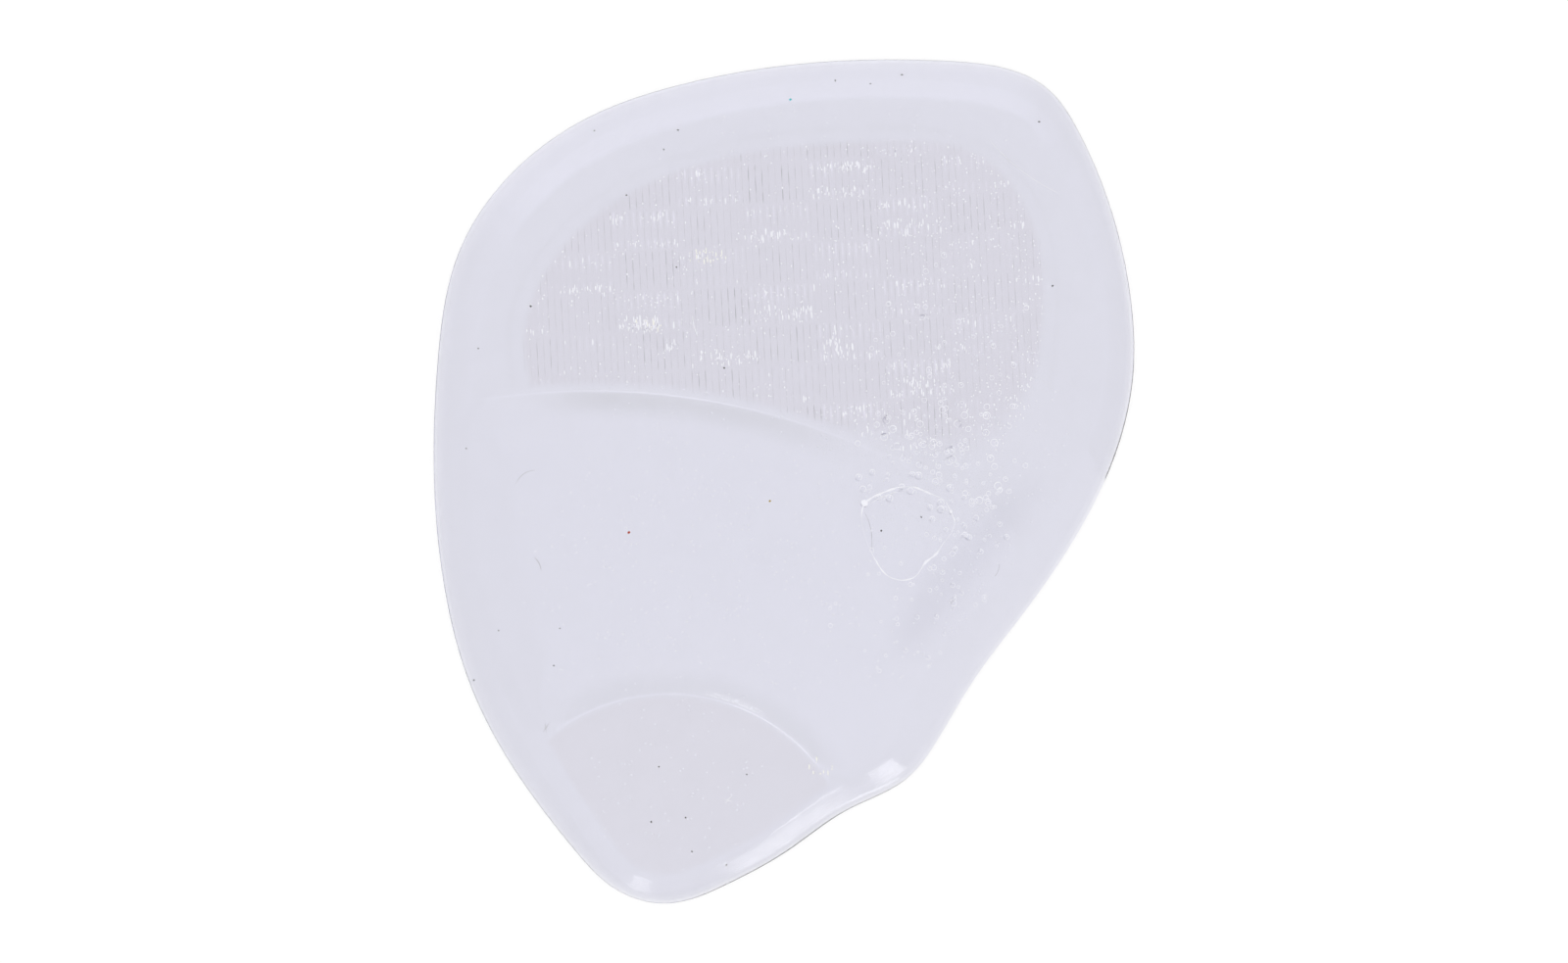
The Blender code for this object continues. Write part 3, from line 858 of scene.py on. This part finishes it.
# Where the patch glitters most
GLINT_LIFT = 0.00004
GLINT_CLUSTERS = (
    Zone("left_flash", -0.203, 0.186, 0.034, 0.009, 44, 0.0, 0.0),
    Zone("left_low", -0.168, 0.160, 0.020, 0.007, 12, 0.0, 0.0),
    Zone("middle_low", -0.084, 0.146, 0.050, 0.009, 48, 0.0, 0.0),
    Zone("middle", 0.005, 0.200, 0.048, 0.007, 36, 0.0, 0.0),
    Zone("middle_right", 0.076, 0.158, 0.022, 0.013, 34, 0.0, 0.0),
    Zone("right_low", 0.189, 0.115, 0.032, 0.012, 34, 0.0, 0.0),
    Zone("toe_bars", 0.093, 0.369, 0.042, 0.007, 30, 0.0, 0.0),
    Zone("toe_dots", 0.075, 0.344, 0.042, 0.005, 18, 0.0, 0.0),
    Zone("right_dots", 0.180, 0.305, 0.048, 0.005, 20, 0.0, 0.0),
    Zone("middle_dots", -0.010, 0.290, 0.042, 0.006, 16, 0.0, 0.0),
    Zone("left_dots", -0.277, 0.224, 0.042, 0.005, 18, 0.0, 0.0),
    Zone("low_right_row", 0.150, 0.075, 0.080, 0.020, 30, 0.0, 0.0),
)
WARM_CLUSTERS = (
    Zone("middle_warm", -0.112, 0.265, 0.030, 0.008, 26, 0.0, 0.0),
    Zone("left_warm", -0.195, 0.185, 0.025, 0.007, 14, 0.0, 0.0),
    Zone("heel_warm", 0.052, -0.336, 0.020, 0.010, 9, 0.0, 0.0),
)

CLEAR_RINGS = (
    Ring(0.273, -0.043, 0.00060), Ring(0.287, -0.019, 0.00055), Ring(0.257, -0.063, 0.00060),
    Ring(0.239, -0.085, 0.00055), Ring(0.225, -0.107, 0.00050), Ring(0.207, -0.128, 0.00045),
    Ring(0.148, 0.075, 0.00065), Ring(0.132, 0.067, 0.00060), Ring(0.262, 0.062, 0.00060),
    Ring(0.180, 0.052, 0.00050), Ring(0.105, 0.045, 0.00060), Ring(0.245, 0.020, 0.00050),
)

# Outline of a film of air trapped under the surface, clockwise, and how brightly it shines
AIR_TRACE = (
    Trace(0.115, -0.026, 1.0), Trace(0.123, -0.020, 1.0), Trace(0.141, -0.013, 1.0),
    Trace(0.158, -0.008, 1.0), Trace(0.174, -0.006, 0.3), Trace(0.190, -0.008, 1.0),
    Trace(0.204, -0.013, 0.9), Trace(0.219, -0.018, 0.4), Trace(0.228, -0.022, 0.3),
    Trace(0.237, -0.036, 0.6), Trace(0.242, -0.045, 0.5), Trace(0.238, -0.060, 0.2),
    Trace(0.226, -0.073, 0.2), Trace(0.215, -0.086, 1.0), Trace(0.200, -0.096, 1.0),
    Trace(0.190, -0.109, 0.3), Trace(0.184, -0.113, 0.6), Trace(0.158, -0.115, 0.5),
    Trace(0.144, -0.109, 0.6), Trace(0.133, -0.097, 0.8), Trace(0.122, -0.080, 0.0),
    Trace(0.112, -0.055, -0.3),
)

DARK_SPECKS = (
    Speck(-0.360, 0.207, 0.00017), Speck(-0.435, 0.157, 0.00011), Speck(-0.151, 0.415, 0.00014),
    Speck(-0.171, 0.392, 0.00011), Speck(0.168, 0.481, 0.00013), Speck(0.363, 0.425, 0.00014),
    Speck(-0.270, 0.415, 0.00010), Speck(0.073, 0.474, 0.00011), Speck(0.123, 0.470, 0.00010),
    Speck(-0.224, 0.338, 0.00012), Speck(0.382, 0.231, 0.00014), Speck(-0.153, 0.253, 0.00012),
    Speck(-0.085, 0.134, 0.00014), Speck(-0.452, 0.039, 0.00010), Speck(0.138, -0.058, 0.00014),
    Speck(0.195, -0.042, 0.00012), Speck(-0.318, -0.173, 0.00010), Speck(-0.406, -0.176, 0.00010),
    Speck(-0.327, -0.217, 0.00011), Speck(-0.442, -0.235, 0.00012), Speck(-0.178, -0.337, 0.00012),
    Speck(-0.053, -0.346, 0.00011), Speck(-0.189, -0.402, 0.00014), Speck(-0.140, -0.397, 0.00012),
    Speck(-0.082, -0.453, 0.00012), Speck(-0.131, -0.437, 0.00012), Speck(0.188, -0.007, 0.00012),
)
COLOURED_SPECKS = (
    ("speck_rust", Speck(-0.220, -0.060, 0.00021), (0.42, 0.06, 0.03)),
    ("speck_ochre", Speck(-0.020, -0.023, 0.00017), (0.45, 0.33, 0.05)),
    ("speck_teal", Speck(0.009, 0.451, 0.00019), (0.06, 0.55, 0.62)),
)

FIBRES = (
    Stroke("left_hair", -0.354, -0.090, -0.345, -0.104, 0.12, 0.000022),
    Stroke("side_hair", -0.380, -0.002, -0.353, 0.013, 0.15, 0.000014),
    Stroke("arch_hair", 0.306, -0.098, 0.300, -0.112, 0.10, 0.000012),
    Stroke("heel_cross", -0.343, -0.296, -0.333, -0.284, 0.00, 0.000014),
    Stroke("heel_cross_over", -0.338, -0.296, -0.340, -0.285, 0.00, 0.000014),
    Stroke("trace_side", 0.114, -0.036, 0.124, -0.080, 0.10, 0.000014),
)
MARKS = (
    Stroke("mark_left", -0.084, -0.376, -0.074, -0.378, 0.00, 0.00004),
    Stroke("mark_right", -0.074, -0.371, -0.084, -0.380, 0.00, 0.00004),
    Stroke("patch_thread", -0.130, 0.195, -0.123, 0.172, -0.06, 0.00008),
    Stroke("toe_streak", 0.290, 0.405, 0.391, 0.340, -0.05, 0.00003),
)


def on_surface(surface, shares, lift=0.0):
    """Points on the gel's upper side, in metres, for shares across and along."""
    points = np.array(shares, dtype=float) * (PAD_WIDTH, PAD_LENGTH)
    found = surface.survey(points)
    return np.column_stack((points, surface.height(points, found) + lift))


def scattered(zone, chance):
    """Shares across and along, spread over an oval zone and thinner towards its edge."""
    angles = chance.uniform(0.0, tau, zone.count)
    radii = chance.uniform(0.0, 1.0, zone.count) ** 0.6
    across = zone.across + zone.reach_across * radii * np.cos(angles)
    along = zone.along + zone.reach_along * radii * np.sin(angles)
    return np.column_stack((across, along))


def clear_of_edge(surface, places):
    """Which places lie on the gel, clear of the rim."""
    points = places * (PAD_WIDTH, PAD_LENGTH)
    gap, width = surface.rim(points)
    return is_inside(points, surface.outline) & (gap > width)


def make_bubbles(surface, air):
    """Rings of light round small bubbles, with a bead of light in each."""
    chance = np.random.RandomState(7)
    pile = Pile()
    rows = [(row.across, row.along, row.size) for row in CLEAR_RINGS]
    for zone in BUBBLE_ZONES:
        places = scattered(zone, chance)
        sizes = chance.uniform(zone.smallest, zone.largest, zone.count)
        rows.extend((*place, size) for place, size in zip(places, sizes))
    rows = np.array(rows)
    rows = rows[clear_of_edge(surface, rows[:, :2])]
    for centre, size in zip(on_surface(surface, rows[:, :2], 0.00002), rows[:, 2]):
        radius = size * 0.5
        turn = chance.uniform(-0.4, 0.4)
        # White rings and flakes painted as the light that each bubble's edge and middle catch.
        pile.add_ring(centre, radius, 0.000014 + size * 0.022)
        pile.add_ring(centre, radius, size * 0.085, start=0.3 + turn, sweep=2.5)
        if chance.uniform() < 0.4:
            centre = centre + (radius * 0.35 * turn, radius * 0.3, 0.0)
            pile.add_flake(centre, (size * 0.14, size * 0.14, size * 0.08), sides=6)
    return pile.make("painted_bubble_rings", air)


def make_dots(surface, air):
    chance = np.random.RandomState(19)
    pile = Pile()
    for zone in DOT_ZONES:
        places = scattered(zone, chance)
        sizes = chance.uniform(zone.smallest, zone.largest, zone.count)
        keep = clear_of_edge(surface, places)
        for centre, size in zip(on_surface(surface, places[keep], 0.00002), sizes[keep]):
            pile.add_flake(centre, (size * 0.5, size * 0.5, size * 0.2), sides=7)
    return pile.make("air_dots", air)


def add_glint(pile, surface_point, chance, bar):
    """A dot of light, or a bar of it along the ribs."""
    width = chance.uniform(0.00004, 0.00009)
    length = width * (chance.uniform(2.5, 5.5) if bar else chance.uniform(0.8, 1.6))
    rise = max(0.00006, width * 0.5)
    pile.add_flake(surface_point, (width, length, rise), turn=TILE_TURN)


def make_glints(surface, air, warm_glint_paint):
    """Short bars and dots of light along the edges of the patch's raised tiles."""
    chance = np.random.RandomState(23)
    pile = Pile()
    count = 26000
    points = np.column_stack((
        chance.uniform(-0.38, 0.37, count) * PAD_WIDTH,
        chance.uniform(0.01, 0.41, count) * PAD_LENGTH,
    ))
    found = surface.survey(points)
    across, along = surface.tile_position(points)
    column = np.round(across).astype(int)
    row = np.round(along).astype(int)
    up = along - row
    raised = (column + row) % 2 == 1
    strength = surface.bar_strength[column + 32, row + 32]
    at_bars = raised * (0.8 * bell(up - 0.30, 0.10) + bell(up + 0.36, 0.09))
    right = smooth_step((points[:, 0] / PAD_WIDTH - 0.05) / 0.25)
    likely = 0.045 + 0.085 * right + 0.30 * at_bars * strength
    keep = (found.in_patch > 0.0004) & (chance.uniform(size=count) < likely)
    # Each glint is a small white flake that paints a highlight.
    heights = surface.height(points, found) + GLINT_LIFT
    for here in np.nonzero(keep)[0]:
        bar = at_bars[here] > 0.5 and chance.uniform() < 0.45
        add_glint(pile, (*points[here], heights[here]), chance, bar)
    for zone in GLINT_CLUSTERS:
        for centre in on_surface(surface, scattered(zone, chance), GLINT_LIFT):
            add_glint(pile, centre, chance, chance.uniform() < 0.6)
    warm = Pile()
    for zone in WARM_CLUSTERS:
        for centre in on_surface(surface, scattered(zone, chance), GLINT_LIFT):
            add_glint(warm, centre, chance, chance.uniform() < 0.5)
    pile.make("painted_glints", air)
    warm.make("painted_glints_warm", warm_glint_paint)


def trace_path(surface):
    """The closed trace of trapped air on the surface, and how brightly each point shines."""
    curve = closed_spline([(row.across * PAD_WIDTH, row.along * PAD_LENGTH, row.bright) for row in AIR_TRACE])
    curve = evenly_spaced(curve, 0.0002)
    shares = curve[:, :2] / (PAD_WIDTH, PAD_LENGTH)
    return on_surface(surface, shares, 0.00002), np.clip(curve[:, 2], 0.0, 1.0)


def make_air_trace(surface, air):
    path, bright = trace_path(surface)
    pile = Pile()
    waver = 0.75 + 0.25 * np.sin(tau * np.arange(len(path)) / 7.3)
    # The white tubes and flakes paint the light along the edge of the film of trapped air, thicker where it
    # shines brighter.
    thickness = 0.000008 + 0.000125 * bright**1.6 * waver
    pile.add_tube(path, thickness, sides=6, flatness=0.5, closed=True)
    inner = path + (0.00030, -0.00036, 0.0)
    stretch = slice(3, 23)
    swell = np.sin(pi * np.linspace(0.0, 1.0, 20))
    pile.add_tube(inner[stretch], 0.00001 + 0.00006 * swell, sides=6, flatness=0.5)
    centre = on_surface(surface, [(AIR_TRACE[0].across - 0.001, AIR_TRACE[0].along)])[0]
    pile.add_flake(centre, (0.00042, 0.00042, 0.00014), sides=14)
    side = on_surface(surface, [(0.237, -0.036)])[0]
    pile.add_flake(side, (0.00020, 0.00026, 0.00010), sides=10)
    return pile.make("air_trace", air)


def make_specks(surface):
    dark = Pile()
    rows = [(row.across, row.along) for row in DARK_SPECKS]
    chance = np.random.RandomState(3)
    for centre, row in zip(on_surface(surface, rows), DARK_SPECKS):
        stretch = chance.uniform(0.7, 1.3)
        radii = (row.size * 0.75 * stretch, row.size * 0.75 / stretch, row.size * 0.5)
        dark.add_bead(centre, radii, turn=chance.uniform(0.0, pi), fine=True)
    dark.make("specks_dark", small_material("dust_dark", (0.045, 0.040, 0.045), 0.8, 0.4))
    for name, row, colour in COLOURED_SPECKS:
        pile = Pile()
        centre = on_surface(surface, [(row.across, row.along)])[0]
        pile.add_bead(centre, (row.size * 0.8, row.size * 0.66, row.size * 0.5), turn=0.5, fine=True)
        pile.make(name, small_material(name + "_dust", colour, 0.7, 0.25))


def add_stroke(pile, surface, row):
    shares = np.linspace(0.0, 1.0, 9)[:, None]
    start = np.array((row.across, row.along))
    end = np.array((row.to_across, row.to_along))
    side = np.array((start[1] - end[1], end[0] - start[0]))
    path = start + shares * (end - start) + side * row.bend * 4.0 * shares * (1.0 - shares)
    taper = 0.5 + 0.5 * np.sin(pi * shares[:, 0])
    pile.add_tube(on_surface(surface, path), row.thickness * taper, sides=6)


def make_strokes(surface, air):
    fibres = Pile()
    for row in FIBRES:
        add_stroke(fibres, surface, row)
    fibres.make("fibres", small_material("fibre_grey", (0.22, 0.21, 0.23), 0.7, 0.2))
    marks = Pile()
    for row in MARKS:
        add_stroke(marks, surface, row)
    marks.make("air_marks", air)


def floor_material():
    material = bpy.data.materials.new("pale_floor")
    material.use_nodes = True
    tree = material.node_tree
    shader = tree.nodes["Principled BSDF"]
    shader.inputs["Roughness"].default_value = 0.9
    shader.inputs["Specular IOR Level"].default_value = 0.1
    shader.inputs["Emission Color"].default_value = (1.0, 1.0, 1.0, 1.0)
    shader.inputs["Emission Strength"].default_value = 0.80
    place = tree.nodes.new("ShaderNodeTexCoord")
    noise = tree.nodes.new("ShaderNodeTexNoise")
    noise.inputs["Scale"].default_value = 6.0
    ramp = tree.nodes.new("ShaderNodeValToRGB")
    ramp.color_ramp.elements[0].color = (0.247, 0.247, 0.247, 1.0)
    ramp.color_ramp.elements[1].color = (0.253, 0.253, 0.253, 1.0)
    link_nodes(material, (
        (place, "Object", noise, "Vector"),
        (noise, "Fac", ramp, "Fac"),
        (ramp, "Color", shader, "Base Color"),
    ))
    return material


def make_floor():
    size = 3.0
    mesh = bpy.data.meshes.new("floor")
    corners = [(-size, -size), (size, -size), (size, size), (-size, size)]
    mesh.from_pydata([(x, y, -0.0002) for x, y in corners], [], [(0, 1, 2, 3)])
    mesh.materials.append(floor_material())
    floor = bpy.data.objects.new("floor", mesh)
    bpy.context.scene.collection.objects.link(floor)


def make_world():
    world = bpy.data.worlds.new("studio")
    bpy.context.scene.world = world
    world.use_nodes = True
    tree = world.node_tree
    background = tree.nodes["Background"]
    place = tree.nodes.new("ShaderNodeTexCoord")
    split = tree.nodes.new("ShaderNodeSeparateXYZ")
    ramp = tree.nodes.new("ShaderNodeValToRGB")
    ramp.color_ramp.elements[0].position = 0.0
    ramp.color_ramp.elements[0].color = (0.88, 0.88, 0.89, 1.0)
    ramp.color_ramp.elements[1].position = 0.9
    ramp.color_ramp.elements[1].color = (1.0, 1.0, 1.0, 1.0)
    tree.links.new(place.outputs["Generated"], split.inputs["Vector"])
    tree.links.new(split.outputs["Z"], ramp.inputs["Fac"])
    tree.links.new(ramp.outputs["Color"], background.inputs["Color"])
    background.inputs["Strength"].default_value = 1.0


Softbox = namedtuple("Softbox", "name lean azimuth right up width height radiance")

# Lamps that only the gloss shows: lean is from upright and azimuth from +X towards +Y, in
# degrees. Right and up shift a lamp in its own plane, and its size is in metres
SOFTBOX_DISTANCE = 0.7
SOFTBOXES = (
    Softbox("arch_softbox", 46.0, -57.0, 0.0065, 0.0185, 0.137, 0.053, 5.5),
    Softbox("heel_softbox_right", 46.0, -57.0, -0.0600, -0.0620, 0.120, 0.058, 4.9),
    Softbox("heel_softbox_left", 51.0, -120.0, 0.0985, 0.0010, 0.125, 0.028, 4.5),
    Softbox("toe_softbox", 60.0, 88.0, 0.000, 0.000, 0.220, 0.040, 2.5),
)


def make_softbox(row):
    """A softbox that faces the pad, left out of the light that reaches the floor."""
    lean = radians(row.lean)
    azimuth = radians(row.azimuth)
    light = bpy.data.lights.new(row.name, "AREA")
    light.shape = "RECTANGLE"
    light.size = row.width
    light.size_y = row.height
    light.energy = row.radiance * pi * row.width * row.height
    lamp = bpy.data.objects.new(row.name, light)
    way = Vector((sin(lean) * cos(azimuth), sin(lean) * sin(azimuth), cos(lean)))
    right = Vector((0.0, 0.0, 1.0)).cross(way).normalized()
    up = way.cross(right)
    lamp.location = way * SOFTBOX_DISTANCE + right * row.right + up * row.up
    lamp.rotation_euler = Matrix((right, up, way)).transposed().to_euler()
    lamp.visible_camera = False
    lamp.visible_diffuse = False
    lamp.visible_transmission = False
    lamp.visible_volume_scatter = False
    bpy.context.scene.collection.objects.link(lamp)


def make_camera():
    data = bpy.data.cameras.new("camera")
    data.lens = 100.0
    data.sensor_width = 36.0
    frame_width = PAD_LENGTH / 864.5 * 1600.0
    camera = bpy.data.objects.new("camera", data)
    camera.location = (0.0, 0.0, frame_width * data.lens / data.sensor_width + SLAB_THICKNESS)
    data.clip_start = 0.01
    data.clip_end = 20.0
    bpy.context.scene.collection.objects.link(camera)
    bpy.context.scene.camera = camera


surface = Surface()
gel_body = make_gel_body(surface)
gel_body.data.materials.append(gel_material())
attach(gel_body, "root")
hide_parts("gel_pad")

# Near-white finish of trapped air; on the glints, the rings round bubbles and the trace's bright edge it
# paints highlights. The warm one paints the yellowish glints.
air = small_material("trapped_air", (0.925, 0.925, 0.99), 0.25, 0.01)
deep_air = small_material("trapped_air_deep", (0.76, 0.76, 0.86), 0.4, 0.03)
warm_glint_paint = small_material("painted_glint_warm", (0.93, 0.92, 0.88), 0.25, 0.03)
make_bubbles(surface, air)
make_dots(surface, deep_air)
make_glints(surface, air, warm_glint_paint)
make_air_trace(surface, air)
make_specks(surface)
make_strokes(surface, air)

make_floor()
make_world()
for row in SOFTBOXES:
    make_softbox(row)
make_camera()

scene = bpy.context.scene
scene.view_settings.view_transform = "Standard"
scene.cycles.use_denoising = True
scene.cycles.use_adaptive_sampling = True
scene.cycles.adaptive_threshold = 0.05
scene.cycles.adaptive_min_samples = 16
scene.cycles.max_bounces = 6
scene.cycles.diffuse_bounces = 1
scene.cycles.glossy_bounces = 3
scene.cycles.transmission_bounces = 6
